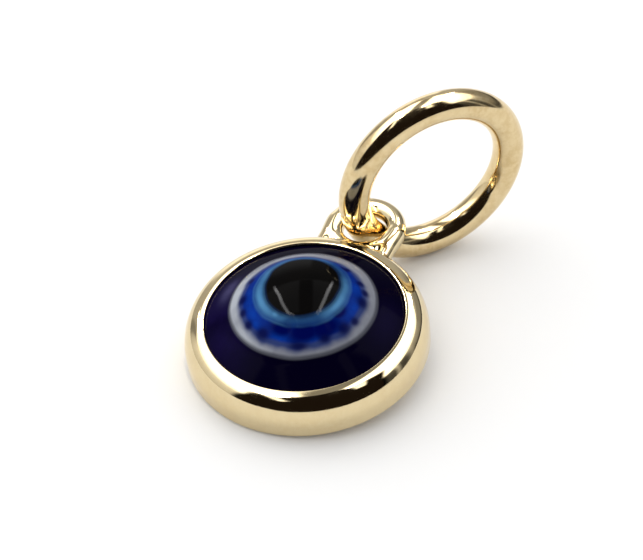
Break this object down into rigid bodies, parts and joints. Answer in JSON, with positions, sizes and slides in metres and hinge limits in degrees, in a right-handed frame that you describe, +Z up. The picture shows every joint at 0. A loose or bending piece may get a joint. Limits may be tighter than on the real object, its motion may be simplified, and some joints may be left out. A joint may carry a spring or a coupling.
{
  "type": "evil eye pendant",
  "caption": "Small round pendant: a raised blue glass eye in a plain gold cup setting with a soldered loop, hung on a closed jump ring.",
  "frame": {"origin": "on the surface that the pendant lies on, below the middle of the whole object's box", "axes": "+Z up from that surface, +Y from the setting towards its loop and the jump ring, +X to the right when looking along +Y"},
  "size_m": [0.008, 0.0134, 0.0068],
  "materials": {
    "gold": null,
    "navy_glass": "opaque glossy navy glass",
    "white_glass": "opaque glossy greyish white glass",
    "blue_glass": "opaque glossy deep blue glass, mottled",
    "pale_glass": "opaque glossy light blue glass",
    "black_glass": "opaque glossy black glass"
  },
  "bodies": {
    "root": {"setting": "gold", "jump_ring": "gold", "glass_bead": "navy_glass", "white_ring": "white_glass", "blue_ring": "blue_glass", "pale_ring": "pale_glass", "pupil": "black_glass"}
  },
  "joints": []
}
